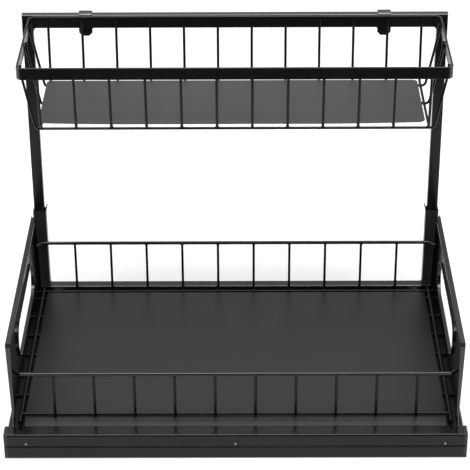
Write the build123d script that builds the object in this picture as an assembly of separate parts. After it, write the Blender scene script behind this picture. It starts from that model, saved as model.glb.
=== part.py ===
from build123d import *
import math
import os

# Two-tier organizer for the cabinet under a sink. A wire drawer slides out of a low steel base, and a
# wire basket hangs on a frame that plugs into the two posts at the back. Millimetres, +Z up, -Y is the
# front, and the origin lies under the middle of the base.

# Base: box tubes on the cabinet floor
base_width = 420.0
base_depth = 268.0
base_tube_height = 13.0
front_beam_depth = 15.0
rear_beam_height = 26.0
rear_beam_depth = 11.2
side_rail_width = 20.0
tube_wall = 1.2
tube_corner = 1.5
cap_thickness = 3.0
cap_plug_length = 8.0

# Posts: an open sleeve below, a plug-in tube above
post_inset = 6.7
sleeve_width = 13.0
sleeve_wall = 1.0
sleeve_top = 116.0
sleeve_corner = 1.4
lip_height = 4.4
lip_lean = 1.5
post_face = 10.4
post_depth = 7.6
post_wall = 1.0
post_corner = 1.0
frame_top = 327.0
gusset_leg = 6.0
gusset_thickness = 2.0

# Slides: three nested channels on each side
slide_rear_gap = 4.8
slide_height = 10.3
slide_width = 7.6
slide_sheet = 0.9
slide_setback = 2.0
slide_inset = 0.8
slide_inner_width = 7.4

# Drawer frame
drawer_rail_height = 12.7
angle_drop = 10.0
angle_sheet = 1.2
angle_top = 25.2
screw_head = 3.4
screw_head_depth = 0.8
screw_shank = 2.0
screw_length = 6.0
screw_height = 2.3
screw_inset = 20.0
screw_count = 3

# Drawer side panels
panel_sheet = 1.2
panel_inset = 7.6
panel_bottom = 14.5
panel_top = 113.0
panel_lean = 1.45
panel_flange_top = 5.0
panel_flange_front_top = 5.0
panel_flange_front_foot = 2.5
panel_flange_rear = 4.0
panel_notch = 3.0
panel_front_gap = 0.4
panel_rear_gap = 3.0
handle_length = 134.0
handle_height = 34.0
handle_centre_height = 71.0
handle_setback = 11.0
handle_lip = 2.0

# Wires
thin_wire = 2.5
thick_wire = 3.5
wire_sides = 12
bend_chords = 2

# Drawer fences and floor
front_fence_setback = 25.4
rear_fence_setback = 14.9
front_fence_height = 75.0
rear_fence_height = 82.0
front_upright_inset = 45.3
rear_upright_inset = 47.6
upright_count = 10
fence_end_bend = 5.5
floor_wire_count = 6
floor_wire_front = 63.5
floor_wire_rear = 31.0
floor_side_wire_inset = 13.5
plate_thickness = 0.7
plate_side_inset = 18.0
plate_front = 27.0
plate_rear = 21.0
nose_angle = 25.0

# Upper basket
rim_inset = 14.6
rim_depth = 117.8
rim_height = 10.8
rim_sheet = 2.0
rim_corner = 6.0
rim_drop = 1.5
basket_depth = 65.1
basket_taper_front = 4.6
basket_taper_rear = 4.2
basket_end_taper = 10.6
basket_bend = 4.5
long_wire_count = 12
long_wire_inset = 18.9
cross_wire_front = 12.0
cross_wire_middle = 63.6
cross_wire_rear = 14.2
wire_end_drop = 2.2
hook_width = 12.8
hook_sheet = 1.5
hook_bend = 2.4
hook_tail = 20.5
hook_chamfer = 3.2
hook_inset = 68.5
liner_side_inset = 20.4
liner_front = 15.2
liner_rear = 11.8
liner_thickness = 0.6
liner_corner = 2.0

# Clearances
running_gap = 0.3
seat_gap = 0.1
overrun = 2.0

# Places that follow from the sizes
front_y = -base_depth / 2
rear_y = base_depth / 2
rear_beam_front = rear_y - rear_beam_depth
front_beam_back = front_y + front_beam_depth
beam_length = base_width - 2 * cap_thickness
side_rail_x = base_width / 2 - side_rail_width / 2
sleeve_depth = post_depth + 2 * running_gap + 2 * sleeve_wall
post_x = base_width / 2 - post_inset - sleeve_width / 2
post_y = rear_y - rear_beam_depth / 2 - (rear_beam_depth - sleeve_depth) / 2 + seat_gap
crossbar_bottom = frame_top - post_face
crossbar_front = post_y - post_depth / 2
drawer_rail_bottom = base_tube_height + running_gap
drawer_rail_top = drawer_rail_bottom + drawer_rail_height
slide_outer_face = base_width / 2 - side_rail_width + slide_inset + slide_width
slide_front = front_beam_back + slide_setback
slide_length = rear_beam_front - slide_front - slide_rear_gap
slide_nest = slide_sheet + running_gap
slide_inner_face = slide_outer_face - 2 * slide_nest
angle_leg_x = slide_inner_face - slide_inner_width
floor_wire_z = angle_top + seat_gap + thin_wire / 2
plate_underside = floor_wire_z + thin_wire / 2 + seat_gap
plate_top = plate_underside + plate_thickness
side_wire_z = plate_underside + thick_wire / 2
fence_foot_wire_z = plate_top + running_gap + thin_wire / 2
front_fence_y = front_y + front_fence_setback
rear_fence_y = rear_y - rear_fence_setback
panel_front = front_beam_back + panel_front_gap
panel_rear = rear_beam_front - panel_rear_gap
rim_top = frame_top - rim_drop
rim_bottom = rim_top - rim_height
rim_rear = crossbar_front - running_gap - hook_sheet
rim_front = rim_rear - rim_depth
rim_width = base_width - 2 * rim_inset
wire_top = rim_top - wire_end_drop
cross_wire_z = rim_top - basket_depth
long_wire_z = cross_wire_z + thin_wire + seat_gap
liner_z = long_wire_z + thin_wire / 2 + running_gap
side_wire_x = base_width / 2 - floor_side_wire_inset


def panel_inner_x(height):
    """Inner face of the right panel at a height."""
    lean = math.radians(panel_lean)
    rise = (height - panel_bottom) * math.tan(lean)
    return base_width / 2 - panel_inset - panel_sheet / math.cos(lean) + rise


def block(x0, x1, y0, y1, z0, z1):
    """A box between two corners."""
    middle = Pos((x0 + x1) / 2, (y0 + y1) / 2, (z0 + z1) / 2)
    return middle * Box(x1 - x0, y1 - y0, z1 - z0)


def opposite(shape):
    """The same piece for the left side."""
    return mirror(shape, about=Plane.YZ)


def ring_section(width, height, wall, corner):
    """Cross-section of a box tube with rounded corners."""
    outer = RectangleRounded(width, height, corner)
    inner = RectangleRounded(width - 2 * wall, height - 2 * wall, max(corner - wall, wall / 4))
    return outer - inner


def cross_tube(length, depth, height):
    """Box tube along X, centred on the origin."""
    return extrude(Plane.YZ * ring_section(depth, height, tube_wall, tube_corner), amount=length / 2, both=True)


def end_caps(depth, height):
    """Two plastic plugs that close the ends of a box tube, flush with its walls."""
    face = extrude(Plane.YZ * RectangleRounded(depth, height, tube_corner), amount=cap_thickness)
    plug_depth = depth - 2 * tube_wall - 2 * seat_gap
    plug_height = height - 2 * tube_wall - 2 * seat_gap
    plug = extrude(Plane.YZ * Rectangle(plug_depth, plug_height), amount=-cap_plug_length)
    cap = Pos(beam_length / 2, 0, 0) * (face + plug)
    return Compound([cap, opposite(cap)])


def bent_wire(points, diameter, bend):
    """Wire along straight runs, with each bend in a few short chords and a many-sided section."""
    corners = []
    for edge in FilletPolyline(*points, radius=bend).edges():
        steps = bend_chords if edge.geom_type == GeomType.CIRCLE else 1
        corners += [edge @ (n / steps) for n in range(steps)]
    path = Polyline(*corners, points[-1])
    start = Plane(origin=path @ 0, z_dir=path % 0)
    section = start * RegularPolygon(diameter / 2, wire_sides)
    return sweep(section, path=path, transition=Transition.RIGHT)


def straight_wire(start, end, diameter):
    """Wire from one point to another."""
    path = Line(start, end)
    return sweep(Plane(origin=start, z_dir=path % 0) * RegularPolygon(diameter / 2, wire_sides), path=path)


def spread(reach, count):
    """Evenly spaced places from -reach to reach."""
    return [reach * (2 * n / (count - 1) - 1) for n in range(count)]


def base_front_beam():
    middle = Pos(0, front_y + front_beam_depth / 2, base_tube_height / 2)
    beam = middle * cross_tube(beam_length, front_beam_depth, base_tube_height)
    caps = middle * end_caps(front_beam_depth, base_tube_height)
    return beam, caps


def base_rear_beam():
    middle = Pos(0, rear_y - rear_beam_depth / 2, rear_beam_height / 2)
    beam = middle * cross_tube(beam_length, rear_beam_depth, rear_beam_height)
    caps = middle * end_caps(rear_beam_depth, rear_beam_height)
    return beam, caps


def base_side_rail():
    """Right rail between the two beams, butt welded to both."""
    length = rear_beam_front - front_beam_back
    section = ring_section(side_rail_width, base_tube_height, tube_wall, tube_corner)
    rail = extrude(Plane.XZ * section, amount=length / 2, both=True)
    return Pos(side_rail_x, (rear_beam_front + front_beam_back) / 2, base_tube_height / 2) * rail


def post_sleeve():
    """Right sleeve on the rear beam, with a guide lip that leans away at the inner side."""
    height = sleeve_top - rear_beam_height
    section = ring_section(sleeve_width, sleeve_depth, sleeve_wall, sleeve_corner)
    sleeve = extrude(section, amount=height)
    inner_face = -sleeve_width / 2
    lip_half = sleeve_depth / 2 - sleeve_corner
    lip_foot = height - overrun / 2
    outline = Polyline(
        (inner_face, lip_foot),
        (inner_face + sleeve_wall, lip_foot),
        (inner_face + sleeve_wall, height),
        (inner_face + sleeve_wall - lip_lean, height + lip_height),
        (inner_face - lip_lean, height + lip_height),
        (inner_face, height),
        close=True,
    )
    lip = extrude(Plane.XZ * make_face(outline), amount=lip_half, both=True)
    return Pos(post_x, post_y, rear_beam_height) * (sleeve + lip)


def mitre_cut(reach):
    """Wedge that takes away everything inside and below the 45 degree joint at the right corner."""
    corner_x = post_x + post_face / 2
    outline = Polyline(
        (corner_x, frame_top),
        (corner_x - reach, frame_top - reach),
        (corner_x - reach, frame_top + overrun),
        (corner_x, frame_top + overrun),
        close=True,
    )
    return Pos(0, post_y, 0) * extrude(Plane.XZ * make_face(outline), amount=post_depth, both=True)


def upper_post():
    """Right tube from the bottom of the sleeve to the mitre at the crossbar."""
    foot = rear_beam_height + running_gap
    section = ring_section(post_face, post_depth, post_wall, post_corner)
    tube = Pos(post_x, post_y, foot) * extrude(section, amount=frame_top - foot)
    return tube - mitre_cut(post_face + overrun)


def crossbar():
    """Top tube between the posts, cut at 45 degrees at both ends."""
    length = 2 * post_x + post_face
    section = ring_section(post_depth, post_face, post_wall, post_corner)
    tube = extrude(Plane.YZ * section, amount=length / 2, both=True)
    tube = Pos(0, post_y, frame_top - post_face / 2) * tube
    corner_x = post_x + post_face / 2
    wedge = Polyline(
        (corner_x + overrun, frame_top + overrun),
        (corner_x + overrun, crossbar_bottom - overrun),
        (corner_x - post_face - overrun, crossbar_bottom - overrun),
        close=True,
    )
    keep_out = Pos(0, post_y, 0) * extrude(Plane.XZ * make_face(wedge), amount=post_depth, both=True)
    return tube - keep_out - opposite(keep_out)


def corner_gussets():
    """Small triangular plates welded into the two corners under the crossbar."""
    inner_x = post_x - post_face / 2
    outline = Polyline(
        (inner_x, crossbar_bottom),
        (inner_x - gusset_leg, crossbar_bottom),
        (inner_x, crossbar_bottom - gusset_leg),
        close=True,
    )
    plate = extrude(Plane.XZ * make_face(outline), amount=gusset_thickness / 2, both=True)
    plate = Pos(0, post_y, 0) * plate
    return Compound([plate, opposite(plate)])


def channel(width, height, sheet, length):
    """Slide channel along Y, open towards the middle of the organizer, outer face at x = 0."""
    section = Pos(-width / 2, height / 2) * Rectangle(width, height)
    hollow = Pos(-width / 2 - sheet, height / 2) * Rectangle(width, height - 2 * sheet)
    return extrude(Plane.XZ * (section - hollow), amount=-length)


def slide_members():
    """Right slide: outer channel on the side rail, middle channel, and inner member on the drawer."""
    outer = channel(slide_width, slide_height, slide_sheet, slide_length)
    outer = Pos(slide_outer_face, slide_front, base_tube_height) * outer
    middle = channel(slide_width - slide_nest, slide_height - 2 * slide_nest, slide_sheet, slide_length)
    middle = Pos(slide_outer_face - slide_nest, slide_front, base_tube_height + slide_nest) * middle
    inner_height = slide_height - 4 * slide_nest
    inner = channel(slide_inner_width, inner_height, slide_sheet, slide_length)
    inner += block(-slide_inner_width, slide_sheet - slide_inner_width, 0, slide_length, 0, inner_height)
    inner = Pos(slide_inner_face, slide_front, base_tube_height + 2 * slide_nest) * inner
    return outer, middle, inner


def drawer_front_rail():
    middle = Pos(0, front_y + front_beam_depth / 2, drawer_rail_bottom + drawer_rail_height / 2)
    rail = middle * cross_tube(beam_length, front_beam_depth, drawer_rail_height)
    caps = middle * end_caps(front_beam_depth, drawer_rail_height)
    for screw in front_screws(seat_gap):
        rail -= screw
    return rail, caps


def front_screws(play):
    """Three small screws low in the front face of the drawer rail, heads sunk flush."""
    head_sink = Plane.XZ * RegularPolygon(screw_head / 2 + play, wire_sides)
    shank_hole = Plane.XZ * RegularPolygon(screw_shank / 2 + play, wire_sides)
    screw = extrude(head_sink, amount=-screw_head_depth) + extrude(shank_hole, amount=-screw_length)
    height = drawer_rail_bottom + screw_height
    reach = base_width / 2 - screw_inset
    return [Pos(x, front_y, height) * screw for x in spread(reach, screw_count)]


def drawer_side_angle():
    """Right angle that carries the floor wires and hangs on the inner slide member."""
    length = panel_rear - front_beam_back
    outer = panel_inner_x(angle_top - angle_sheet) - seat_gap
    leg = angle_leg_x - angle_sheet
    top = block(leg, outer, 0, length, angle_top - angle_sheet, angle_top)
    side = block(leg, angle_leg_x, 0, length, angle_top - angle_drop, angle_top)
    return Pos(0, front_beam_back, 0) * (top + side)


def side_panel():
    """Right side panel: folded sheet that leans outwards, with a lipped handle hole."""
    depth = panel_rear - panel_front
    height = (panel_top - panel_bottom) / math.cos(math.radians(panel_lean))
    sheet = block(-panel_sheet, 0, 0, depth, 0, height)
    top_flange = block(-panel_flange_top, 0, panel_notch, depth - panel_notch, height - panel_sheet, height)
    foot = panel_notch + drawer_rail_top - panel_bottom
    front_outline = Polyline(
        (0, foot),
        (-panel_flange_front_foot, foot),
        (-panel_flange_front_top, height - panel_notch),
        (0, height - panel_notch),
        close=True,
    )
    front_flange = extrude(Plane.XZ * make_face(front_outline), amount=-panel_sheet)
    rear_flange = block(-panel_flange_rear, 0, depth - panel_sheet, depth, foot, height - panel_notch)
    centre = Pos(0, depth / 2 + handle_setback, handle_centre_height - panel_bottom)
    hole = Plane.YZ * SlotOverall(handle_length, handle_height)
    rim = Plane.YZ * SlotOverall(handle_length + 2 * panel_sheet, handle_height + 2 * panel_sheet)
    lip = centre * Pos(-panel_sheet - handle_lip, 0, 0) * extrude(rim, amount=handle_lip + panel_sheet)
    cut = centre * extrude(hole, amount=panel_flange_top + overrun, both=True)
    panel = sheet + top_flange + front_flange + rear_flange + lip - cut
    return Pos(base_width / 2 - panel_inset, panel_front, panel_bottom) * Rot(0, panel_lean, 0) * panel


def fence_top_wire(y, height, toward):
    """Thick wire along a fence, both ends turned to the side panels."""
    end_x = panel_inner_x(height) - thick_wire / 2 - seat_gap
    turn_x = end_x - fence_end_bend
    points = [
        (-end_x, y + toward * fence_end_bend, height),
        (-turn_x, y, height),
        (turn_x, y, height),
        (end_x, y + toward * fence_end_bend, height),
    ]
    return bent_wire(points, thick_wire, thick_wire)


def fence_uprights(y, foot, height, inset):
    """Ten short wires welded under a fence's top wire and to its bottom wire."""
    head = height - thick_wire / 2 - seat_gap
    places = spread(base_width / 2 - inset, upright_count)
    return Compound([straight_wire((x, y, foot), (x, y, head), thin_wire) for x in places])


def front_fence_bottom_wire():
    """Thin wire that holds the floor plate down along the front fence, between the two side wires."""
    reach = side_wire_x - thick_wire / 2 - seat_gap
    y = front_fence_y + thin_wire + seat_gap
    return straight_wire((-reach, y, fence_foot_wire_z), (reach, y, fence_foot_wire_z), thin_wire)


def rear_fence_bottom_wire():
    """Thin wire behind the floor plate, level with the floor's cross wires."""
    reach = panel_inner_x(floor_wire_z - thin_wire / 2) - seat_gap
    y = rear_fence_y - thin_wire - seat_gap
    return straight_wire((-reach, y, floor_wire_z), (reach, y, floor_wire_z), thin_wire)


def floor_cross_wires():
    """Six wires from panel to panel, under the floor plate."""
    reach = panel_inner_x(floor_wire_z - thin_wire / 2) - seat_gap
    middle_y = (floor_wire_front - floor_wire_rear) / 2
    places = [middle_y + y for y in spread(base_depth / 2 - (floor_wire_front + floor_wire_rear) / 2, floor_wire_count)]
    wires = [straight_wire((-reach, y, floor_wire_z), (reach, y, floor_wire_z), thin_wire) for y in places]
    return Compound(wires)


def floor_side_wires():
    """Two thick wires beside the floor plate, on the cross wires."""
    start = front_beam_back + seat_gap
    end = panel_rear - panel_sheet - seat_gap
    wire = straight_wire((side_wire_x, start, side_wire_z), (side_wire_x, end, side_wire_z), thick_wire)
    return Compound([wire, opposite(wire)])


def floor_plate():
    """Flat steel sheet whose front edge rolls down to the back of the front rail."""
    flat_front = front_y + plate_front
    bend = math.radians(nose_angle)
    outer_radius = (flat_front - front_beam_back - seat_gap) / math.sin(bend)
    centre_z = plate_top - outer_radius

    def on_nose(radius, angle):
        return (flat_front - radius * math.sin(angle), centre_z + radius * math.cos(angle))

    inner_radius = outer_radius - plate_thickness
    tip = on_nose(outer_radius, bend)
    root = on_nose(inner_radius, bend)
    back = rear_y - plate_rear
    outline = Curve() + [
        ThreePointArc((flat_front, plate_top), on_nose(outer_radius, bend / 2), tip),
        Line(tip, root),
        ThreePointArc(root, on_nose(inner_radius, bend / 2), (flat_front, plate_underside)),
        Line((flat_front, plate_underside), (back, plate_underside)),
        Line((back, plate_underside), (back, plate_top)),
        Line((back, plate_top), (flat_front, plate_top)),
    ]
    half_width = base_width / 2 - plate_side_inset
    return extrude(Plane.YZ * make_face(outline), amount=half_width, both=True)


def upper_rim():
    """Flat band bent to a rounded rectangle and welded at its ends."""
    outer = RectangleRounded(rim_width, rim_depth, rim_corner)
    inner = RectangleRounded(rim_width - 2 * rim_sheet, rim_depth - 2 * rim_sheet, rim_corner - rim_sheet)
    return Pos(0, rim_rear - rim_depth / 2, rim_bottom) * extrude(outer - inner, amount=rim_height)


def long_wire(x):
    """U-shaped wire from the front band to the rear band, under the liner."""
    seat = rim_sheet + thin_wire / 2 + seat_gap
    front = rim_front + seat
    rear = rim_rear - seat
    points = [
        (x, front, wire_top),
        (x, front, rim_bottom),
        (x, front + basket_taper_front, long_wire_z),
        (x, rear - basket_taper_rear, long_wire_z),
        (x, rear, rim_bottom),
        (x, rear, wire_top),
    ]
    return bent_wire(points, thin_wire, basket_bend)


def cross_wire(y):
    """U-shaped wire from the left band to the right band, under the long wires."""
    side = rim_width / 2 - rim_sheet - thin_wire / 2 - seat_gap
    foot = side - basket_end_taper
    points = [
        (-side, y, wire_top),
        (-side, y, rim_bottom),
        (-foot, y, cross_wire_z),
        (foot, y, cross_wire_z),
        (side, y, rim_bottom),
        (side, y, wire_top),
    ]
    return bent_wire(points, thin_wire, basket_bend)


def arch(half_width, foot, crown, bend):
    """Outline of an upright strap loop: two straight sides and rounded shoulders."""
    outline = Polyline((-half_width, foot), (half_width, foot), (half_width, crown), (-half_width, crown), close=True)
    face = make_face(outline)
    return fillet(face.vertices().group_by(Axis.Y)[-1], bend)


def hook():
    """Right hook: a strap welded behind the rear band and bent flat over the crossbar."""
    inner = post_depth / 2 + running_gap
    tail = frame_top - hook_tail
    crown = frame_top + running_gap
    strap = arch(inner + hook_sheet, tail, crown + hook_sheet, hook_bend)
    strap -= arch(inner, tail, crown, hook_bend - hook_sheet)
    hook_body = extrude(Plane.YZ * strap, amount=hook_width / 2, both=True)
    tail_edges = hook_body.edges().filter_by(Axis.Y).group_by(Axis.Z)[0]
    hook_body = chamfer(tail_edges, hook_chamfer)
    return Pos(base_width / 2 - hook_inset, post_y, 0) * hook_body


def upper_liner():
    """Thin loose sheet on the basket's long wires."""
    depth = rim_depth - liner_front - liner_rear
    width = rim_width - 2 * liner_side_inset
    sheet = extrude(RectangleRounded(width, depth, liner_corner), amount=liner_thickness)
    return Pos(0, rim_front + liner_front + depth / 2, liner_z) * sheet


def all_parts():
    parts = {}
    parts["base_front_beam"], parts["base_front_caps"] = base_front_beam()
    parts["base_rear_beam"], parts["base_rear_caps"] = base_rear_beam()
    parts["drawer_front_rail"], parts["drawer_rail_caps"] = drawer_front_rail()
    parts["front_screws"] = Compound(front_screws(0))
    outer, middle, inner = slide_members()
    right_pieces = {
        "base_side_rail": base_side_rail(),
        "post_sleeve": post_sleeve(),
        "upper_post": upper_post(),
        "slide_outer": outer,
        "slide_middle": middle,
        "slide_inner": inner,
        "drawer_side_angle": drawer_side_angle(),
        "side_panel": side_panel(),
        "basket_hook": hook(),
    }
    for name, piece in right_pieces.items():
        parts[name + "_right"] = piece
        parts[name + "_left"] = opposite(piece)
    parts["crossbar"] = crossbar()
    parts["corner_gussets"] = corner_gussets()
    parts["front_fence_top_wire"] = fence_top_wire(front_fence_y, front_fence_height, 1)
    front_foot = plate_top + running_gap
    rear_foot = angle_top + seat_gap
    parts["front_fence_uprights"] = fence_uprights(
        front_fence_y, front_foot, front_fence_height, front_upright_inset
    )
    parts["front_fence_bottom_wire"] = front_fence_bottom_wire()
    parts["rear_fence_top_wire"] = fence_top_wire(rear_fence_y, rear_fence_height, -1)
    parts["rear_fence_uprights"] = fence_uprights(
        rear_fence_y, rear_foot, rear_fence_height, rear_upright_inset
    )
    parts["rear_fence_bottom_wire"] = rear_fence_bottom_wire()
    parts["floor_cross_wires"] = floor_cross_wires()
    parts["floor_side_wires"] = floor_side_wires()
    parts["floor_plate"] = floor_plate()
    parts["upper_rim"] = upper_rim()
    for n, x in enumerate(spread(rim_width / 2 - long_wire_inset, long_wire_count)):
        parts[f"basket_long_wire_{n + 1:02d}"] = long_wire(x)
    cross_places = (rim_front + cross_wire_front, rim_front + cross_wire_middle, rim_rear - cross_wire_rear)
    for n, y in enumerate(cross_places):
        parts[f"basket_cross_wire_{n + 1}"] = cross_wire(y)
    parts["upper_liner"] = upper_liner()
    return parts


os.makedirs("parts", exist_ok=True)
for part_name, part_shape in all_parts().items():
    export_step(part_shape, f"parts/{part_name}.step")
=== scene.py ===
import math
import bmesh
import bpy
from mathutils import Matrix, Vector, noise


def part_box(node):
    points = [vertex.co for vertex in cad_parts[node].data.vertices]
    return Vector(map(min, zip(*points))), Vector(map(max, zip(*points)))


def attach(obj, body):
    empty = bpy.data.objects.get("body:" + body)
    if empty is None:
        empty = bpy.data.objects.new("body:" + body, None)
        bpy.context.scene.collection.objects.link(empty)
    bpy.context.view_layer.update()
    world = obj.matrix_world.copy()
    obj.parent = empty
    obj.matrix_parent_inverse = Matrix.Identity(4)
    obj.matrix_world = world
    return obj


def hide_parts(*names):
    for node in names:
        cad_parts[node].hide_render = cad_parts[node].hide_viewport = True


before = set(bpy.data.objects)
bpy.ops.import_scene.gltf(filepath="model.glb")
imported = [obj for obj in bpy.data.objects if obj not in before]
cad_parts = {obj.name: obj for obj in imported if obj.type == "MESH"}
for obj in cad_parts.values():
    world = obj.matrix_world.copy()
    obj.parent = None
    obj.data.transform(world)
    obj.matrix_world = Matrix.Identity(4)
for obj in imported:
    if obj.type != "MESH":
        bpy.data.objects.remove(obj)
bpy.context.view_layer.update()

# Base: front beam, rear beam and two side rails.
# Welded from thin steel box tube, sprayed with black epoxy powder and baked, which leaves a satin film with
# a fine orange peel. The rear beam stands 3 mm taller than its solid, and what is welded on it moves up too.
mm = 0.001


class Sock:
    """A node's socket that takes part in ordinary arithmetic."""

    def __init__(self, tree, socket):
        self.tree = tree
        self.socket = socket

    def _math(self, operation, other, swap=False):
        first, second = (other, self) if swap else (self, other)
        return Builder(self.tree).node("ShaderNodeMath", {"operation": operation}, {0: first, 1: second})

    def __add__(self, other):
        return self._math("ADD", other)

    __radd__ = __add__

    def __mul__(self, other):
        return self._math("MULTIPLY", other)

    __rmul__ = __mul__

    def __sub__(self, other):
        return self._math("SUBTRACT", other)

    def __rsub__(self, other):
        return self._math("SUBTRACT", other, swap=True)


class Builder:
    """Adds nodes to one tree."""

    def __init__(self, tree):
        self.tree = tree

    def node(self, kind, settings=None, inputs=None, output=0):
        made = self.tree.nodes.new(kind)
        for key, value in (settings or {}).items():
            if key == "stops":
                ramp = made.color_ramp
                for element, (at, shade) in zip(ramp.elements, value):
                    element.position = at
                    element.color = (shade, shade, shade, 1.0)
            else:
                setattr(made, key, value)
        for key, value in (inputs or {}).items():
            for each in value if isinstance(value, list) else [value]:
                if isinstance(each, Sock):
                    self.tree.links.new(each.socket, made.inputs[key])
                else:
                    made.inputs[key].default_value = each
        return Sock(self.tree, made.outputs[output])

    def feed(self, value, node, name):
        self.tree.links.new(value.socket, node.inputs[name])


def new_finish(name):
    """An empty material with one Principled surface, and the means to add nodes to it."""
    material = bpy.data.materials.new(name)
    material.use_nodes = True
    tree = material.node_tree
    tree.nodes.clear()
    surface = tree.nodes.new("ShaderNodeBsdfPrincipled")
    out = tree.nodes.new("ShaderNodeOutputMaterial")
    tree.links.new(surface.outputs["BSDF"], out.inputs["Surface"])
    return material, Builder(tree), surface


def grain(shader, scale, detail=2.0, stretch=(1.0, 1.0, 1.0)):
    """Noise fixed to the piece, with features of about 1 / scale metres."""
    fixed = shader.node("ShaderNodeTexCoord", output="Object")
    stretched = shader.node("ShaderNodeMapping", {}, {"Vector": fixed, "Scale": stretch})
    return shader.node("ShaderNodeTexNoise", {}, {"Vector": stretched, "Scale": scale, "Detail": detail})


blue_share = 1.03


def two_tone(shader, amount, dark, light):
    """Colour between two greys by an amount, both a touch blue."""
    return shader.node(
        "ShaderNodeMix",
        {"data_type": "RGBA"},
        {0: amount, 6: (dark, dark, dark * blue_share, 1.0), 7: (light, light, light * blue_share, 1.0)},
        output=2,
    )


cloud_scale, speck_scale, peel_scale = 14.0, 900.0, 420.0
cloud_share, speck_share = 0.7, 0.3
tone_stops = ((0.3, 0.0), (0.72, 1.0))
cloud_drift, speck_drift = 0.10, 0.08
peel_depth = 0.2 * mm
skin_roughness = 0.12


def powder_coat(name, dark, light, roughness, peel, level, skin=0.0, skin_index=1.5):
    """Baked epoxy powder: near black, with a fine orange peel, and a glossier skin where it ran smooth."""
    material, shader, surface = new_finish(name)
    cloud = grain(shader, cloud_scale, 4.0)
    speck = grain(shader, speck_scale, 2.0)
    orange_peel = grain(shader, peel_scale, 3.0)
    mottle = cloud * cloud_share + speck * speck_share
    tone = shader.node("ShaderNodeValToRGB", {"stops": tone_stops}, {"Fac": mottle})
    shader.feed(two_tone(shader, tone, dark, light), surface, "Base Color")
    shader.feed(roughness + (cloud - 0.5) * cloud_drift + (speck - 0.5) * speck_drift, surface, "Roughness")
    bump = shader.node(
        "ShaderNodeBump", {}, {"Strength": peel, "Distance": peel_depth, "Height": orange_peel}
    )
    shader.feed(bump, surface, "Normal")
    surface.inputs["Specular IOR Level"].default_value = level
    surface.inputs["Coat Weight"].default_value = skin
    surface.inputs["Coat Roughness"].default_value = skin_roughness
    surface.inputs["Coat IOR"].default_value = skin_index
    return material


def new_object(name, data):
    """A new object in the scene."""
    made = bpy.data.objects.new(name, data)
    bpy.context.scene.collection.objects.link(made)
    return made


def place(name, mesh, material, body, stands_for):
    """Puts a finished mesh in the scene as a piece that rides on a body and stands for CAD nodes."""
    mesh.materials.clear()
    mesh.materials.append(material)
    piece = new_object(name, mesh)
    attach(piece, body)
    if stands_for:
        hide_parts(*stands_for)
    return piece


weld_within, flat_within = 0.001 * mm, math.radians(0.6)


def merged(node):
    """A CAD node's triangles joined into closed walls with whole flat faces."""
    shape = bmesh.new()
    shape.from_mesh(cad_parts[node].data)
    bmesh.ops.remove_doubles(shape, verts=shape.verts, dist=weld_within)
    bmesh.ops.dissolve_limit(shape, angle_limit=flat_within, verts=shape.verts, edges=shape.edges)
    return shape


def baked(holder):
    """The plain mesh that a holder's modifiers make. The holder is then removed."""
    graph = bpy.context.evaluated_depsgraph_get()
    mesh = bpy.data.meshes.new_from_object(holder.evaluated_get(graph), depsgraph=graph)
    holder.modifiers.clear()
    bpy.data.objects.remove(holder)
    return mesh


sharp_beyond = math.radians(32)


def rounded(name, shape, edge):
    """A mesh with its sharp edges rounded off and smooth walls."""
    mesh = bpy.data.meshes.new(name)
    shape.to_mesh(mesh)
    shape.free()
    mesh.shade_smooth()
    holder = new_object(name + "_form", mesh)
    bevel = holder.modifiers.new("round", "BEVEL")
    bevel.width = edge
    bevel.segments = 3
    bevel.limit_method = "ANGLE"
    bevel.angle_limit = sharp_beyond
    bevel.use_clamp_overlap = True
    weight = holder.modifiers.new("flat", "WEIGHTED_NORMAL")
    weight.mode = "FACE_AREA"
    made = baked(holder)
    made.name = name
    return made


satin_black = powder_coat(
    "satin_black_powder", dark=0.0036, light=0.0058, roughness=0.22, peel=0.06, level=0.25
)
beam_black = powder_coat(
    "beam_black_powder", dark=0.0034, light=0.0054, roughness=0.22, peel=0.06, level=0.85
)


def lifted(shape, low, high, rise):
    """Moves the points between two levels up, or down where the rise is negative."""
    for point in shape.verts:
        if low < point.co.z < high:
            point.co.z += rise
    return shape


base_edge = 0.2 * mm
beam_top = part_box("base_rear_beam")[1][2]
beam_rise = 3.0 * mm
for tube, rise, coat in (
    ("base_front_beam", 0.0, satin_black),
    ("base_rear_beam", beam_rise, beam_black),
    ("base_side_rail_left", 0.0, satin_black),
    ("base_side_rail_right", 0.0, satin_black),
):
    shape = lifted(merged(tube), beam_top / 2, 2 * beam_top, rise)
    place(tube + "_tube", rounded(tube, shape, base_edge), coat, "base", [tube])

# End caps.
# Moulded black plastic plugs pressed into the tube ends, duller than the coat, with a fine spark grain. The
# rear pair is as tall as the rear beam.
cap_dark, cap_light = 0.006, 0.011
cap_roughness, cap_drift = 0.44, 0.14
cap_scale = 1500.0
cap_peel, cap_depth = 0.3, 0.1 * mm
cap_plastic, cap_shader, cap_surface = new_finish("grained_black_plastic")
cap_grain = grain(cap_shader, cap_scale)
cap_shader.feed(two_tone(cap_shader, cap_grain, cap_dark, cap_light), cap_surface, "Base Color")
cap_shader.feed(cap_roughness + cap_grain * cap_drift, cap_surface, "Roughness")
cap_bump = cap_shader.node(
    "ShaderNodeBump", {}, {"Strength": cap_peel, "Distance": cap_depth, "Height": cap_grain}
)
cap_shader.feed(cap_bump, cap_surface, "Normal")
cap_edge = 0.7 * mm
for caps, body, rise in (
    ("base_front_caps", "base", 0.0),
    ("base_rear_caps", "base", beam_rise),
    ("drawer_rail_caps", "drawer", 0.0),
):
    shape = lifted(merged(caps), beam_top / 2, 2 * beam_top, rise)
    place(caps + "_moulded", rounded(caps, shape, cap_edge), cap_plastic, body, [caps])

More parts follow.
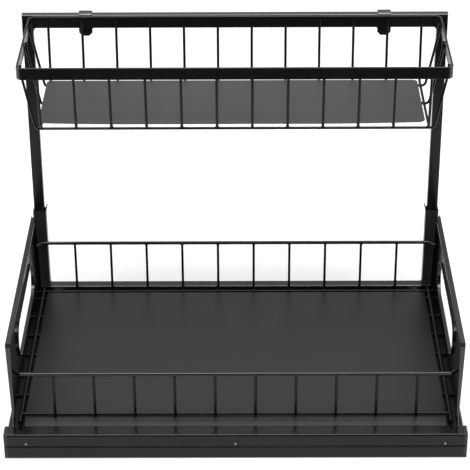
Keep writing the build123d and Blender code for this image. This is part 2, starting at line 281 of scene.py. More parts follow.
# Post sleeves.
# Box tubes welded upright on the rear beam, open at the top, with a guide lip at the inner side. The weld runs
# round the foot as small overlapping ripples. The powder is drier than on the beams, and its lighter grey is
# painted light, standing for the light that falls on the sleeves' front faces.
def new_tree(name, sizes):
    """A Geometry Nodes tree with a guide mesh and named sizes as its inputs."""
    tree = bpy.data.node_groups.new(name, "GeometryNodeTree")
    tree.interface.new_socket("Geometry", in_out="OUTPUT", socket_type="NodeSocketGeometry")
    tree.interface.new_socket("Guide", in_out="INPUT", socket_type="NodeSocketGeometry")
    for label, kind in sizes.items():
        tree.interface.new_socket(label, in_out="INPUT", socket_type="NodeSocket" + kind)
    entry = tree.nodes.new("NodeGroupInput")
    return tree, Builder(tree), {socket.name: Sock(tree, socket) for socket in entry.outputs if socket.name}


def end_tree(nodes, shape, material):
    """Closes a tree with real geometry and its material."""
    real = nodes.node("GeometryNodeRealizeInstances", {}, {0: shape})
    coated = nodes.node("GeometryNodeSetMaterial", {}, {"Geometry": real, "Material": material})
    out = nodes.tree.nodes.new("NodeGroupOutput")
    nodes.feed(coated, out, "Geometry")


def guide_lines(*lines):
    """A guide mesh of bare edges, one chain for each line of points in metres."""
    mesh = bpy.data.meshes.new("guide")
    points, edges = [], []
    for line in lines:
        first = len(points)
        points += line
        edges += [(first + n, first + n + 1) for n in range(len(line) - 1)]
    mesh.from_pydata(points, edges, [])
    return mesh


def grown(tree, guide, sizes):
    """The plain mesh that a tree makes of a guide mesh."""
    holder = new_object("guide", guide)
    modifier = holder.modifiers.new("tree", "NODES")
    modifier.node_group = tree
    for item in tree.interface.items_tree:
        if item.in_out == "INPUT" and item.name in sizes:
            modifier[item.identifier] = sizes[item.name]
    return baked(holder)


def joined(name, meshes, crease):
    """One mesh of several, smooth except at creases sharper than an angle in degrees."""
    shape = bmesh.new()
    for mesh in meshes:
        shape.from_mesh(mesh)
    whole = bpy.data.meshes.new(name)
    shape.to_mesh(whole)
    shape.free()
    whole.shade_smooth()
    whole.set_sharp_from_angle(angle=math.radians(crease))
    return whole


bead_tree, bead, bead_in = new_tree(
    "weld_bead", {"Bead": "Float", "Pitch": "Float", "Seed": "Int", "Material": "Material"}
)
bead_least, bead_most = 0.85, 1.15
bead_line = bead.node("GeometryNodeMeshToCurve", {}, {"Mesh": bead_in["Guide"]})
bead_points = bead.node(
    "GeometryNodeResampleCurve", {"mode": "LENGTH"}, {"Curve": bead_line, "Length": bead_in["Pitch"]}
)
bead_size = bead.node(
    "FunctionNodeRandomValue", {"data_type": "FLOAT"},
    {2: bead_least, 3: bead_most, "Seed": bead_in["Seed"]}, output=1,
)
bead_ripple = bead.node("GeometryNodeMeshIcoSphere", {}, {"Radius": bead_in["Bead"], "Subdivisions": 2})
bead_row = bead.node(
    "GeometryNodeInstanceOnPoints", {}, {"Points": bead_points, "Instance": bead_ripple, "Scale": bead_size}
)
end_tree(bead, bead_row, bead_in["Material"])
bead_pitch = 0.8


def weld_bead(lines, size, seed):
    """Overlapping ripples along lines."""
    sizes = {"Bead": size, "Pitch": size * bead_pitch, "Seed": seed, "Material": satin_black}
    return grown(bead_tree, guide_lines(*lines), sizes)


# Painted light: the sleeves' lighter grey stands for the light on their front faces, and the weld round their
# foot shares it.
sleeve_painted_light_black = powder_coat(
    "sleeve_painted_light_powder", dark=0.0260, light=0.0320, roughness=0.34, peel=0.10, level=0.30
)
sleeve_edge = 0.3 * mm
sleeve_lip = 1.5 * mm
sleeve_bead = 0.8 * mm
seam_inset = 0.2 * mm
seam_crease = 60
for side, seed in (("left", 3), ("right", 8)):
    node = "post_sleeve_" + side
    low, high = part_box(node)
    foot = low[2] + beam_rise
    inner, outer = sorted((low[0], high[0]), key=abs)
    inner += math.copysign(sleeve_lip, outer)
    back, front = high[1] - seam_inset, low[1]
    ring = [(outer, back, foot), (outer, front, foot), (inner, front, foot), (inner, back, foot)]
    shape = lifted(merged(node), beam_top - mm, beam_top + mm, beam_rise)
    place(node + "_tube", rounded(node, shape, sleeve_edge), sleeve_painted_light_black, "base", [node])
    seam = joined(node + "_seam", [weld_bead([ring], sleeve_bead, seed)], seam_crease)
    place(node + "_seam", seam, sleeve_painted_light_black, "base", [])

# Slide members.
# Galvanized strip rolled to nested channels. The zinc is drawn lengthwise, so its fine lines run along the
# travel.
drawn_along_y = (1.0, 0.02, 1.0)
zinc_dark, zinc_light = 0.33, 0.50
zinc_roughness, zinc_drift = 0.30, 0.18
zinc_line_scale, zinc_cloud_scale = 900.0, 60.0
zinc, zinc_shader, zinc_surface = new_finish("drawn_zinc")
zinc_lines = grain(zinc_shader, zinc_line_scale, 2.0, drawn_along_y)
zinc_cloud = grain(zinc_shader, zinc_cloud_scale, 3.0)
zinc_shader.feed(two_tone(zinc_shader, zinc_cloud, zinc_dark, zinc_light), zinc_surface, "Base Color")
zinc_shader.feed(zinc_roughness + zinc_lines * zinc_drift, zinc_surface, "Roughness")
zinc_surface.inputs["Metallic"].default_value = 1.0


def finish_nodes(material, *names):
    """Gives CAD nodes one finish."""
    for name in names:
        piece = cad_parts[name]
        piece.data.materials.clear()
        piece.data.materials.append(material)


finish_nodes(zinc, *[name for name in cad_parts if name.startswith("slide_")])

# Drawer front rail and side angles.
# A flat box tube right above the base's front beam, its upper front edge folded with a larger radius than the
# rest, and two angles that hang on the slides and carry the floor.
reach_within, arc_within = 0.01 * mm, 0.05 * mm


def brow(shape, radius):
    """Opens up the rounding of the upper front edge, where the sheet was folded round a larger tool."""
    front = min(point.co.y for point in shape.verts)
    top = max(point.co.z for point in shape.verts)
    drawn = min(point.co.y for point in shape.verts if point.co.z > top - reach_within) - front
    for point in shape.verts:
        ahead, above = front + drawn - point.co.y, point.co.z - (top - drawn)
        if min(ahead, above) > -reach_within and abs(math.hypot(ahead, above) - drawn) < arc_within:
            point.co.y = front + radius - ahead * radius / drawn
            point.co.z = top - radius + above * radius / drawn
    return shape


rail_edge = 0.2 * mm
rail_fold = 2.2 * mm
rail_mesh = rounded("drawer_front_rail", brow(merged("drawer_front_rail"), rail_fold), rail_edge)
place("drawer_front_rail_tube", rail_mesh, satin_black, "drawer", ["drawer_front_rail"])
finish_nodes(satin_black, "drawer_side_angle_left", "drawer_side_angle_right")

# Front screws.
# Three small black screws with bevelled heads and cross recesses, low in the front face of the drawer rail.
# Their lacquer is glossier than the powder round them.
screw_black = powder_coat(
    "screw_black", dark=0.004, light=0.008, roughness=0.14, peel=0.02, level=1.0, skin=1.0, skin_index=2.2
)
screw_slope = 1.28
wing_reach, recess_depth = 1.2, 0.8
screw_tree, screw, screw_in = new_tree(
    "cross_screw", {"Head": "Float", "Bevel": "Float", "Slot": "Float", "Material": "Material"}
)
screw_face = screw_in["Head"] - screw_in["Bevel"]
screw_tall = screw_in["Bevel"] * screw_slope
screw_blank = screw.node(
    "GeometryNodeMeshCone", {},
    {"Vertices": 32, "Radius Top": screw_face, "Radius Bottom": screw_in["Head"], "Depth": screw_tall},
)
screw_cap = screw.node(
    "GeometryNodeTransform", {}, {"Geometry": screw_blank, "Rotation": (math.pi / 2, 0.0, 0.0)}
)
screw_wing = screw.node(
    "ShaderNodeCombineXYZ", {},
    {"X": screw_in["Head"] * wing_reach, "Y": screw_tall, "Z": screw_in["Slot"]},
)
screw_bar = screw.node("GeometryNodeMeshCube", {}, {"Size": screw_wing})
screw_deep = screw.node("ShaderNodeCombineXYZ", {}, {"Y": screw_tall * -recess_depth})
screw_level = screw.node("GeometryNodeTransform", {}, {"Geometry": screw_bar, "Translation": screw_deep})
screw_upright = screw.node(
    "GeometryNodeTransform", {}, {"Geometry": screw_level, "Rotation": (0.0, math.pi / 2, 0.0)}
)
screw_head = screw.node(
    "GeometryNodeMeshBoolean", {"operation": "DIFFERENCE"},
    {"Mesh 1": screw_cap, "Mesh 2": [screw_level, screw_upright]},
)
screw_row = screw.node(
    "GeometryNodeInstanceOnPoints", {}, {"Points": screw_in["Guide"], "Instance": screw_head}
)
end_tree(screw, screw_row, screw_in["Material"])
low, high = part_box("front_screws")
screw_radius = (high[2] - low[2]) / 2
screw_bevel = 0.55 * mm
screw_slot = 0.6 * mm
screw_sink = 0.03 * mm
screw_crease = 35
screw_y = low[1] + screw_slope * screw_bevel + screw_sink
screw_z = (low[2] + high[2]) / 2
screw_reach = high[0] - screw_radius
screw_guide = guide_lines(*[[(x, screw_y, screw_z)] for x in (-screw_reach, 0.0, screw_reach)])
screw_sizes = {"Head": screw_radius, "Bevel": screw_bevel, "Slot": screw_slot, "Material": screw_black}
screw_mesh = joined("front_screw_heads", [grown(screw_tree, screw_guide, screw_sizes)], screw_crease)
place("front_screw_heads", screw_mesh, screw_black, "drawer", ["front_screws"])

# Drawer side panels.
# Thin sheet with a stamped, lipped handle hole, folded over at the top, the front and the rear. The folds
# are rounded, and the sheet is glossier than the tubes.
panel_gloss = powder_coat(
    "gloss_black_powder", dark=0.0036, light=0.0056, roughness=0.20, peel=0.08, level=0.60
)
fold_round = 1.1 * mm
fold_least, fold_turn = 60 * mm, math.radians(60)
flange_inside = 2.5 * mm
top_within, end_within = 0.3 * mm, 0.2 * mm
panel_edge = 0.3 * mm
for side in ("left", "right"):
    node = "side_panel_" + side
    low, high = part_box(node)
    outer_x = (abs(low[0]) + abs(high[0])) / 2 - flange_inside
    shape = merged(node)
    folds = []
    for edge in shape.edges:
        start, end = (point.co for point in edge.verts)
        run = end - start
        if len(edge.link_faces) != 2 or run.length <= fold_least or abs(edge.calc_face_angle()) <= fold_turn:
            continue
        at_top = min(abs(start.z - high[2]), abs(end.z - high[2])) < top_within
        at_end = min(abs(start.y - low[1]), abs(start.y - high[1])) < end_within
        if abs(start.x) > outer_x and (at_top if abs(run.y) > abs(run.z) else at_end):
            folds.append(edge)
    bmesh.ops.bevel(
        shape, geom=folds, offset=fold_round, segments=5, profile=0.5, affect="EDGES", clamp_overlap=True
    )
    place(node + "_sheet", rounded(node, shape, panel_edge), panel_gloss, "drawer", [node])

# Drawer fences and floor wires.
# Straightened steel wire, cut, bent and spot welded: a thick top wire and thin uprights at the front and the
# rear, thin wires across under the floor sheet and a thick wire along each side.
wire_black = powder_coat(
    "wire_black_powder", dark=0.0034, light=0.0054, roughness=0.20, peel=0.10, level=0.34, skin=0.3
)
thin_black = powder_coat(
    "thin_wire_powder", dark=0.0034, light=0.0054, roughness=0.26, peel=0.10, level=0.24
)
wire_tree, wire, wire_in = new_tree(
    "bent_wire_row",
    {"Radius": "Float", "Bend": "Float", "Count": "Int", "Step": "Vector", "Material": "Material"},
)
bend_steps, wire_sides = 7, 14
wire_line = wire.node("GeometryNodeMeshToCurve", {}, {"Mesh": wire_in["Guide"]})
wire_bent = wire.node(
    "GeometryNodeFilletCurve", {"mode": "POLY"},
    {"Curve": wire_line, "Count": bend_steps, "Radius": wire_in["Bend"], "Limit Radius": True},
)
wire_round = wire.node(
    "GeometryNodeCurvePrimitiveCircle", {"mode": "RADIUS"},
    {"Resolution": wire_sides, "Radius": wire_in["Radius"]},
)
wire_solid = wire.node(
    "GeometryNodeCurveToMesh", {}, {"Curve": wire_bent, "Profile Curve": wire_round, "Fill Caps": True}
)
wire_places = wire.node(
    "GeometryNodeMeshLine", {"mode": "OFFSET"}, {"Count": wire_in["Count"], "Offset": wire_in["Step"]}
)
wire_row = wire.node("GeometryNodeInstanceOnPoints", {}, {"Points": wire_places, "Instance": wire_solid})
end_tree(wire, wire_row, wire_in["Material"])


def wires(points, radius, bend=0.0, count=1, step=(0.0, 0.0, 0.0)):
    """A bent wire, repeated in even steps."""
    sizes = {"Radius": radius, "Bend": bend, "Count": count, "Step": step, "Material": wire_black}
    return grown(wire_tree, guide_lines(points), sizes)


spot_least, spot_most = 0.85, 1.2
spot_uneven, spot_grain_scale = 0.5, 900.0
spot_tree, spot, spot_in = new_tree(
    "weld_spots", {"Size": "Float", "Shape": "Vector", "Seed": "Int", "Material": "Material"}
)
spot_size = spot.node(
    "FunctionNodeRandomValue", {"data_type": "FLOAT"},
    {2: spot_least, 3: spot_most, "Seed": spot_in["Seed"]}, output=1,
)
spot_scale = spot.node(
    "ShaderNodeVectorMath", {"operation": "SCALE"}, {0: spot_in["Shape"], "Scale": spot_size}
)
spot_ball = spot.node("GeometryNodeMeshIcoSphere", {}, {"Radius": spot_in["Size"], "Subdivisions": 3})
spot_place = spot.node("GeometryNodeInputPosition")
spot_grain = spot.node(
    "ShaderNodeTexNoise", {}, {"Vector": spot_place, "Scale": spot_grain_scale, "Detail": 1.0}, output=1
)
spot_centred = spot.node(
    "ShaderNodeVectorMath", {"operation": "SUBTRACT"}, {0: spot_grain, 1: (0.5, 0.5, 0.5)}
)
spot_shift = spot.node(
    "ShaderNodeVectorMath", {"operation": "SCALE"}, {0: spot_centred, "Scale": spot_in["Size"] * spot_uneven}
)
spot_row = spot.node(
    "GeometryNodeInstanceOnPoints", {},
    {"Points": spot_in["Guide"], "Instance": spot_ball, "Scale": spot_scale},
)
spot_real = spot.node("GeometryNodeRealizeInstances", {}, {0: spot_row})
spot_rough = spot.node("GeometryNodeSetPosition", {}, {"Geometry": spot_real, "Offset": spot_shift})
end_tree(spot, spot_rough, spot_in["Material"])


def weld_spots(places, size, shape, seed):
    """Small lumps of fused steel where wires cross."""
    sizes = {"Size": size, "Shape": shape, "Seed": seed, "Material": wire_black}
    return grown(spot_tree, guide_lines(*[[point] for point in places]), sizes)


def even(first, last, count):
    """Evenly spaced numbers."""
    return [first + (last - first) * n / (count - 1) for n in range(count)]


upright_count = 10
fence_bend = 3.5 * mm
wire_end = 0.7
wire_crease = 50
head_spot, head_shape = 1.5 * mm, (1.0, 0.9, 0.55)
foot_spot, foot_shape = 1.6 * mm, (1.0, 0.8, 0.9)
corner_spot, corner_shape = 1.7 * mm, (1.0, 1.0, 0.7)
corner_inside, corner_rise = 1.4 * mm, 0.4 * mm
side_low, side_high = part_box("floor_side_wires")
side_radius = (side_high[2] - side_low[2]) / 2
side_x = side_high[0] - side_radius
for fence, inward in (("front", 1), ("rear", -1)):
    low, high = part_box(fence + "_fence_top_wire")
    thick = (high[2] - low[2]) / 2
    level = (low[2] + high[2]) / 2
    if inward > 0:
        line_y, end_y = low[1] + thick, high[1] - thick * wire_end
    else:
        line_y, end_y = high[1] - thick, low[1] + thick * wire_end
    end_x = high[0] - thick * wire_end
    turn_x = end_x - abs(end_y - line_y)
    top = wires(
        [(-end_x, end_y, level), (-turn_x, line_y, level), (turn_x, line_y, level), (end_x, end_y, level)],
        thick, fence_bend,
    )
    rail = fence + "_fence_rail"
    rail_mesh = joined(rail, [top], wire_crease)
    place(rail, rail_mesh, wire_black, "drawer", [fence + "_fence_top_wire"])

    low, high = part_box(fence + "_fence_uprights")
    thin = (high[1] - low[1]) / 2
    upright_x = high[0] - thin
    upright_y = (low[1] + high[1]) / 2
    step = 2 * upright_x / (upright_count - 1)
    posts = wires(
        [(-upright_x, upright_y, low[2]), (-upright_x, upright_y, level)],
        thin, count=upright_count, step=(step, 0.0, 0.0),
    )
    low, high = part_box(fence + "_fence_bottom_wire")
    bottom_y = (low[1] + high[1]) / 2
    bottom_z = (low[2] + high[2]) / 2
    bottom = wires([(low[0], bottom_y, bottom_z), (high[0], bottom_y, bottom_z)], thin)
    rows = even(-upright_x, upright_x, upright_count)
    foot_y = (upright_y + bottom_y) / 2
    corner_x = side_x - corner_inside
    heads = [(x, upright_y, level - thick) for x in rows]
    feet = [(x, foot_y, bottom_z) for x in rows]
    corners = [(x, bottom_y, bottom_z + corner_rise) for x in (-corner_x, corner_x)]
    parts = [
        posts,
        bottom,
        weld_spots(heads, head_spot, head_shape, seed=11),
        weld_spots(feet, foot_spot, foot_shape, seed=12),
        weld_spots(corners, corner_spot, corner_shape, seed=13),
    ]
    stands = [fence + "_fence_uprights", fence + "_fence_bottom_wire"]
    mesh = joined(fence + "_fence_wires", parts, wire_crease)
    place(fence + "_fence_wires", mesh, thin_black, "drawer", stands)

cross_count = 6
crossing_spot, crossing_shape = 1.9 * mm, (1.0, 1.0, 0.6)
tack_spot, tack_shape = 1.6 * mm, (0.6, 1.1, 1.0)
low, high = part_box("floor_cross_wires")
cross_radius = (high[2] - low[2]) / 2
cross_z = (low[2] + high[2]) / 2
first_y, last_y = low[1] + cross_radius, high[1] - cross_radius
cross_step = (last_y - first_y) / (cross_count - 1)
across = wires(
    [(low[0], first_y, cross_z), (high[0], first_y, cross_z)],
    cross_radius, count=cross_count, step=(0.0, cross_step, 0.0),
)
side_z = (side_low[2] + side_high[2]) / 2
along = wires(
    [(-side_x, side_low[1], side_z), (-side_x, side_high[1], side_z)],
    side_radius, count=2, step=(2 * side_x, 0.0, 0.0),
)
crossings = [(x, y, side_low[2]) for x in (-side_x, side_x) for y in even(first_y, last_y, cross_count)]
ends = [(x, y, cross_z) for x in (low[0], high[0]) for y in even(first_y, last_y, cross_count)]
lumps = weld_spots(crossings, crossing_spot, crossing_shape, seed=21)
tacks = weld_spots(ends, tack_spot, tack_shape, seed=22)
floor_wires = joined("floor_wires", [across, along, lumps, tacks], wire_crease)
stands = ["floor_cross_wires", "floor_side_wires"]
place("floor_wires", floor_wires, thin_black, "drawer", stands)

# Drawer floor.
# A loose steel sheet, powder coated a little lighter and drier than the rest. Its front edge rolls down over
# the rail's back, its rear edge stops short of the wire, and slow waves from the mill run through it.
plate_black = powder_coat(
    "plate_black_powder", dark=0.0132, light=0.0168, roughness=0.34, peel=0.10, level=0.35
)
sheet_crease = 40


def sheet_solid(name, top, under):
    """A closed sheet between two grids of points, each a list of rows."""
    shape = bmesh.new()
    upper = [[shape.verts.new(point) for point in row] for row in top]
    lower = [[shape.verts.new(point) for point in row] for row in under]
    rows, columns = len(top), len(top[0])
    for i in range(rows - 1):
        for j in range(columns - 1):
            shape.faces.new((upper[i][j], upper[i][j + 1], upper[i + 1][j + 1], upper[i + 1][j]))
            shape.faces.new((lower[i][j], lower[i + 1][j], lower[i + 1][j + 1], lower[i][j + 1]))
    for i in range(rows - 1):
        shape.faces.new((upper[i][0], upper[i + 1][0], lower[i + 1][0], lower[i][0]))
        shape.faces.new((upper[i + 1][-1], upper[i][-1], lower[i][-1], lower[i + 1][-1]))
    for j in range(columns - 1):
        shape.faces.new((upper[0][j + 1], upper[0][j], lower[0][j], lower[0][j + 1]))
        shape.faces.new((upper[-1][j], upper[-1][j + 1], lower[-1][j + 1], lower[-1][j]))
    bmesh.ops.recalc_face_normals(shape, faces=shape.faces)
    mesh = bpy.data.meshes.new(name)
    shape.to_mesh(mesh)
    shape.free()
    mesh.shade_smooth()
    mesh.set_sharp_from_angle(angle=math.radians(sheet_crease))
    return mesh


low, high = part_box("floor_plate")
plate_sheet = 0.7 * mm
plate_short = 2.2 * mm
plate_wave = 0.12 * mm
wave_x, wave_y, wave_seed = 9, 11, 0.4
nose_depth = 11.9 * mm
nose_over = 1.3 * mm
nose_clear = 0.2 * mm
nose_steps, plate_along, plate_across = 10, 19, 41
nose_wave = 0.3
nose_start = low[1] + nose_depth
nose_reach = nose_start - low[1] + nose_over
nose_fall = high[2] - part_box("drawer_front_rail")[1][2] - nose_clear
nose_angle = 2 * math.atan(nose_fall / nose_reach)
nose_radius = nose_reach / math.sin(nose_angle)
profile = []
for n in range(nose_steps + 1):
    turn = nose_angle * (1 - n / nose_steps)
    y = nose_start - nose_radius * math.sin(turn)
    profile.append((y, high[2] - nose_radius * (1 - math.cos(turn)), turn))
profile += [(y, high[2], 0.0) for y in even(nose_start, high[1] - plate_short, plate_along)[1:]]
plate_columns = even(low[0], high[0], plate_across)


def plate_rows(depth):
    """Rows of points across the plate, at a depth under its upper face."""
    rows = []
    for y, z, turn in profile:
        swell = plate_wave * (1 if turn == 0.0 else nose_wave)
        row = []
        for x in plate_columns:
            wave = swell * (noise.noise(Vector((x * wave_x, y * wave_y, wave_seed))) - 1)
            row.append((x, y + math.sin(turn) * depth, z - math.cos(turn) * depth + wave))
        rows.append(row)
    return rows


plate_mesh = sheet_solid("floor_sheet", plate_rows(0.0), plate_rows(plate_sheet))
place("floor_sheet", plate_mesh, plate_black, "drawer", ["floor_plate"])

# Upper frame.
# Two slimmer box tubes that plug into the sleeves, joined at the top by a crossbar with mitred, welded and
# ground corners and small gussets under them. The powder ran smooth on the crossbar and left a glossier skin.
smooth_black = powder_coat(
    "smooth_black_powder", dark=0.0044, light=0.0066, roughness=0.18, peel=0.06, level=0.55, skin=1.0
)
frame_edge = 0.28 * mm
gusset_bead = 0.55 * mm
for node in ("upper_post_left", "upper_post_right", "crossbar", "corner_gussets"):
    shape = lifted(merged(node), beam_top - mm, beam_top + mm, beam_rise)
    coat = smooth_black if node == "crossbar" else satin_black
    place(node + "_tube", rounded(node, shape, frame_edge), coat, "upper_frame", [node])
low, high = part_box("corner_gussets")
gusset_lines = []
for sign in (-1, 1):
    inner_x, free_x = sign * high[0], sign * (high[0] - (high[2] - low[2]))
    for y in (low[1], high[1]):
        gusset_lines.append([(free_x, y, high[2]), (inner_x, y, high[2]), (inner_x, y, low[2])])
gusset_seam = joined("gusset_seam", [weld_bead(gusset_lines, gusset_bead, 31)], seam_crease)
place("gusset_seam", gusset_seam, satin_black, "upper_frame", [])

# Upper basket: rim band and hooks.
# A flat band bent to a loop, and two flat straps welded behind it that hook over the crossbar. The band hangs a
# little tilted, its rear up, and is slightly taller than its solid.
rim_black = powder_coat(
    "rim_black_powder", dark=0.0042, light=0.0064, roughness=0.23, peel=0.08, level=0.55
)
rim_edge = 0.45 * mm
rim_tilt = 1.4 * mm
rim_drop = 0.7 * mm
rim_low, rim_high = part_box("upper_rim")
rim_shape = lifted(merged("upper_rim"), 0.0, (rim_low[2] + rim_high[2]) / 2, -rim_drop)
for point in rim_shape.verts:
    point.co.z += rim_tilt * (point.co.y - rim_low[1]) / (rim_high[1] - rim_low[1])
rim_mesh = rounded("upper_rim", rim_shape, rim_edge)
place("upper_rim_band", rim_mesh, rim_black, "upper_basket", ["upper_rim"])
for node in ("basket_hook_left", "basket_hook_right"):
    hook_mesh = rounded(node, merged(node), rim_edge)
    place(node + "_band", hook_mesh, smooth_black, "upper_basket", [node])

# Upper basket: wires.
# Twelve U-shaped wires front to back lie on three U-shaped wires side to side. Their ends are welded inside
# the band, and a spot weld holds each crossing.
long_count = 12
low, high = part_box("basket_long_wire_01")
other_low, other_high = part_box(f"basket_long_wire_{long_count:02d}")
basket_radius = (high[0] - low[0]) / 2
basket_bend = 4.5 * mm
front_taper, rear_taper, end_taper = 4.6 * mm, 4.2 * mm, 10.6 * mm
long_x = low[0] + basket_radius
long_step = ((other_low[0] + other_high[0]) / 2 - (low[0] + high[0]) / 2) / (long_count - 1)
long_front, long_rear = low[1] + basket_radius, high[1] - basket_radius
long_z = low[2] + basket_radius
long_wires = wires(
    [
        (long_x, long_front, high[2]),
        (long_x, long_front, rim_low[2]),
        (long_x, long_front + front_taper, long_z),
        (long_x, long_rear - rear_taper, long_z),
        (long_x, long_rear, rim_low[2]),
        (long_x, long_rear, high[2]),
    ],
    basket_radius, basket_bend, long_count, (long_step, 0.0, 0.0),
)
basket_parts = [long_wires]
basket_nodes = [f"basket_long_wire_{n + 1:02d}" for n in range(long_count)]
columns = [long_x + long_step * n for n in range(long_count)]
join_spot, join_shape = 1.55 * mm, (1.0, 1.0, 0.7)
band_spot, band_shape = 1.5 * mm, (1.0, 1.0, 1.3)
band_z = rim_low[2] + 3 * mm
band_out = 0.8 * mm
crossings, band_tacks = [], []
for n in range(3):
    node = f"basket_cross_wire_{n + 1}"
    low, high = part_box(node)
    y = (low[1] + high[1]) / 2
    side, cross_z = high[0] - basket_radius, low[2] + basket_radius
    foot = side - end_taper
    cross_wire = wires(
        [
            (-side, y, high[2]),
            (-side, y, rim_low[2]),
            (-foot, y, cross_z),
            (foot, y, cross_z),
            (side, y, rim_low[2]),
            (side, y, high[2]),
        ],
        basket_radius, basket_bend,
    )
    basket_parts.append(cross_wire)
    basket_nodes.append(node)
    crossings += [(x, y, (cross_z + long_z) / 2) for x in columns]
    band_tacks += [(x, y, band_z) for x in (-side - band_out, side + band_out)]
band_tacks += [(x, y, band_z) for x in columns for y in (long_front - band_out, long_rear + band_out)]
basket_parts.append(weld_spots(crossings, join_spot, join_shape, seed=41))
basket_parts.append(weld_spots(band_tacks, band_spot, band_shape, seed=42))
basket_mesh = joined("basket_wires", basket_parts, wire_crease)
place("basket_wires", basket_mesh, thin_black, "upper_basket", basket_nodes)

# Upper liner.
# A thin grey plastic sheet that lies loose on the basket wires, a little wavy, with rounded corners. It has
# slipped a few millimetres to the left, and its front bows forward and curls up on the wires' bends.
liner_dark, liner_light = 0.040, 0.052
liner_roughness, liner_drift = 0.42, 0.12
liner_peel, liner_depth = 0.15, 0.2 * mm
liner_grain_scale, liner_cloud_scale = 700.0, 9.0
liner_grey, liner_shader, liner_surface = new_finish("grey_liner_sheet")
liner_grain = grain(liner_shader, liner_grain_scale)
liner_cloud = grain(liner_shader, liner_cloud_scale, 3.0)
liner_shader.feed(two_tone(liner_shader, liner_cloud, liner_dark, liner_light), liner_surface, "Base Color")
liner_shader.feed(liner_roughness + liner_grain * liner_drift, liner_surface, "Roughness")
liner_bump = liner_shader.node(
    "ShaderNodeBump", {}, {"Strength": liner_peel, "Distance": liner_depth, "Height": liner_grain}
)
liner_shader.feed(liner_bump, liner_surface, "Normal")
low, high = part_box("upper_liner")
liner_sheet = high[2] - low[2]
liner_lift = 0.5 * mm
ripple_x, ripple_y, ripple_seed = 14, 22, 3.1
liner_bow, bow_fullness = 4.6 * mm, 0.5
liner_fray = 0.6 * mm
fray_x, fray_seed = 13, (2.0, 1.0)
corner_cut = 1.2 * mm
slip_left, slip_right = 4.5 * mm, 1.2 * mm
curl_start = rim_low[1] + 12.2 * mm
curl_most = 4.2 * mm
liner_across, liner_along = 85, 31
liner_columns = even(low[0] - slip_left, high[0] - slip_right, liner_across)
liner_lines = even(0.0, 1.0, liner_along)


def liner_rows(level):
    """Rows of points across the liner: it bows to the front in the middle and curls up on the wires' bends."""
    rows = []
    for i, share in enumerate(liner_lines):
        row = []
        for j, x in enumerate(liner_columns):
            across = (x - liner_columns[0]) / (liner_columns[-1] - liner_columns[0])
            bow = liner_bow * math.sin(math.pi * across) ** bow_fullness
            front = low[1] - bow - liner_fray * noise.noise(Vector((x * fray_x, *fray_seed)))
            y = front + (high[1] - front) * share
            ahead = min(max(curl_start - y, 0.0), curl_most)
            curl = basket_bend - math.sqrt(basket_bend ** 2 - ahead ** 2)
            ripple = noise.noise(Vector((x * ripple_x, y * ripple_y, ripple_seed)))
            wave = liner_lift * (1 + ripple) / 2
            at_corner = i in (0, len(liner_lines) - 1) and j in (0, len(liner_columns) - 1)
            cut = corner_cut if at_corner else 0.0
            row.append((x - math.copysign(cut, x), y - math.copysign(cut, share - 0.5), level + wave + curl))
        rows.append(row)
    return rows


liner_mesh = sheet_solid("liner_sheet", liner_rows(high[2]), liner_rows(high[2] - liner_sheet))
place("liner_sheet", liner_mesh, liner_grey, "upper_liner_body", ["upper_liner"])

# Studio.
# A white table and a white surround. A large soft lamp hangs overhead, a weak one behind and two at the sides.
# Boards that only show in reflections keep the black coat dark at the front and light its upper faces.
# A black board under the drawer is painted shade, standing in reflections for the shaded table under it.
def seen_rays(shader):
    """1 for rays from the camera, off gloss or through glass, 0 for the rest."""
    kinds = [
        shader.node("ShaderNodeLightPath", output=kind)
        for kind in ("Is Camera Ray", "Is Glossy Ray", "Is Transmission Ray")
    ]
    first = shader.node("ShaderNodeMath", {"operation": "MAXIMUM"}, {0: kinds[0], 1: kinds[1]})
    return shader.node("ShaderNodeMath", {"operation": "MAXIMUM"}, {0: first, 1: kinds[2]})


white = (1.0, 1.0, 1.0, 1.0)


def studio_white(name, shade, glow):
    """White paper that looks white to the camera and in reflections, and still takes a shadow."""
    material = bpy.data.materials.new(name)
    material.use_nodes = True
    tree = material.node_tree
    tree.nodes.clear()
    shader = Builder(tree)
    seen = seen_rays(shader)
    paper = shader.node("ShaderNodeBsdfDiffuse", {}, {"Color": (shade, shade, shade, 1.0)})
    light = shader.node("ShaderNodeEmission", {}, {"Color": white, "Strength": glow})
    both = shader.node("ShaderNodeAddShader", {}, {0: paper, 1: light})
    mixed = shader.node("ShaderNodeMixShader", {}, {0: seen, 1: paper, 2: both})
    out = tree.nodes.new("ShaderNodeOutputMaterial")
    shader.feed(mixed, out, "Surface")
    return material


table_half = 6.0
table_drop = 0.4 * mm
table_corners = [(x * table_half, y * table_half, -table_drop) for x, y in ((-1, -1), (1, -1), (1, 1), (-1, 1))]
table_mesh = bpy.data.meshes.new("table")
table_mesh.from_pydata(table_corners, [], [(0, 1, 2, 3)])
table_mesh.materials.append(studio_white("table_white", shade=0.82, glow=0.56))
table = new_object("table", table_mesh)

room_light, room_white = 0.35, 1.0
world = bpy.data.worlds.new("studio")
bpy.context.scene.world = world
world.use_nodes = True
world.node_tree.nodes.clear()
sky = Builder(world.node_tree)
ambient = sky.node("ShaderNodeBackground", {}, {"Color": white, "Strength": room_light})
backdrop = sky.node("ShaderNodeBackground", {}, {"Color": white, "Strength": room_white})
sky_mix = sky.node("ShaderNodeMixShader", {}, {0: seen_rays(sky), 1: ambient, 2: backdrop})
sky_out = world.node_tree.nodes.new("ShaderNodeOutputWorld")
sky.feed(sky_mix, sky_out, "Surface")

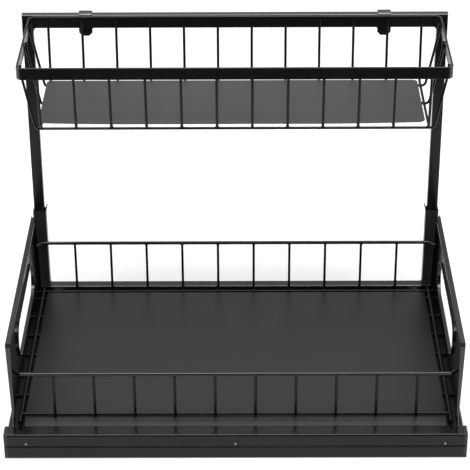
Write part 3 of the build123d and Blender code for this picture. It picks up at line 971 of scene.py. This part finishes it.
middle = (0.0, 0.0, 0.15)
for name, stands_at, size, power in (
    ("overhead_softbox", (0.0, -0.55, 1.55), (1.0, 0.5), 18.0),
    ("rear_softbox", (0.0, 1.55, 1.75), (1.6, 0.6), 2.0),
    ("left_softbox", (-1.5, -0.5, 1.0), (0.7, 0.7), 3.0),
    ("right_softbox", (1.5, -0.5, 1.0), (0.7, 0.7), 3.0),
):
    data = bpy.data.lights.new(name, "AREA")
    data.shape = "RECTANGLE"
    data.size, data.size_y = size
    data.energy = power
    lamp = new_object(name, data)
    lamp.location = stands_at
    lamp.rotation_euler = (Vector(middle) - Vector(stands_at)).to_track_quat("-Z", "Y").to_euler()


def flag(name, low, high, shade):
    """A matt board, level or upright, that only shows in reflections, as set round a glossy black thing."""
    cloth, _, cloth_surface = new_finish(name + "_cloth")
    cloth_surface.inputs["Base Color"].default_value = (0.0, 0.0, 0.0, 1.0)
    cloth_surface.inputs["Specular IOR Level"].default_value = 0.0
    cloth_surface.inputs["Emission Color"].default_value = white
    cloth_surface.inputs["Emission Strength"].default_value = shade
    corners = [low, (high[0], low[1], low[2]), high, (low[0], high[1], high[2])]
    mesh = bpy.data.meshes.new(name)
    mesh.from_pydata(corners, [], [(0, 1, 2, 3)])
    mesh.materials.append(cloth)
    board = new_object(name, mesh)
    board.visible_camera = False
    board.visible_diffuse = False
    board.visible_shadow = False
    board.visible_transmission = False


flag_half = 4.0
flag_y, flag_top = -1.9, 3.0
cloth_front, cloth_z = -0.394, 1.0 * mm
under_x, under_front, under_rear = 0.185, -0.10, 0.118
scrim_y, scrim_low, scrim_high = 1.6, 0.25, 1.10
canopy_front, canopy_rear, canopy_z = -0.1, 0.9, 1.9
black_flag_and_painted_shade, grey_scrim, bright_canopy = 0.02, 0.36, 2.6
flag("floor_cloth", (-flag_half, flag_y, cloth_z), (flag_half, cloth_front, cloth_z), black_flag_and_painted_shade)
flag("front_flag", (-flag_half, flag_y, 0.0), (flag_half, flag_y, flag_top), black_flag_and_painted_shade)
# Painted shade: black covers the table under the drawer in reflections, as if that part of the table lay in
# shade.
flag("under_cloth", (-under_x, under_front, cloth_z), (under_x, under_rear, cloth_z), black_flag_and_painted_shade)
flag("rear_scrim", (-flag_half, scrim_y, scrim_low), (flag_half, scrim_y, scrim_high), grey_scrim)
flag("overhead_canopy", (-flag_half, canopy_front, canopy_z), (flag_half, canopy_rear, canopy_z), bright_canopy)

# Camera.
# Stands in front of the object, about 1.7 metres from its middle, and looks down at 29 degrees with a long
# lens.
lens, sensor = 139.9, 36.0
camera_at = (0.0068, -1.4837, 0.9915)
look_down = math.radians(29.33)
look_aside = math.radians(0.27)
lean = math.radians(-0.28)
camera_data = bpy.data.cameras.new("camera")
camera_data.sensor_width = sensor
camera_data.lens = lens
camera_data.dof.use_dof = False
camera_data.clip_end = 30.0
camera = new_object("camera", camera_data)
camera.location = camera_at
pitch = Matrix.Rotation(math.pi / 2 - look_down, 3, "X")
aim = Matrix.Rotation(look_aside, 3, "Z") @ pitch @ Matrix.Rotation(lean, 3, "Z")
camera.rotation_euler = aim.to_euler()
bpy.context.scene.camera = camera
bpy.context.scene.view_settings.view_transform = "Standard"
